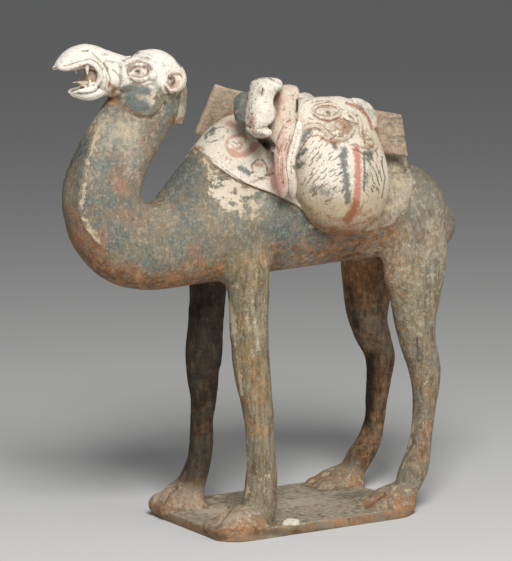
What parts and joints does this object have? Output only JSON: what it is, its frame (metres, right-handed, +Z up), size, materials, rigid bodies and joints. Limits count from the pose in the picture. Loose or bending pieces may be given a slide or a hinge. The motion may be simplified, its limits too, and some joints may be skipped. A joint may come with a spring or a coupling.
{
  "type": "pottery camel figure",
  "caption": "Standing two-humped camel in painted earthenware with raised head, open mouth and loaded saddle, on a thin slab.",
  "frame": {"origin": "centre of the slab's flat underside", "axes": "+Z up, -X the way the camel faces, -Y its left side"},
  "size_m": [0.4628, 0.1924, 0.486],
  "materials": {
    "painted_earthenware": "matte unglazed fired clay with worn cold paint"
  },
  "bodies": {
    "root": {"camel_figure": "painted_earthenware"}
  },
  "joints": []
}
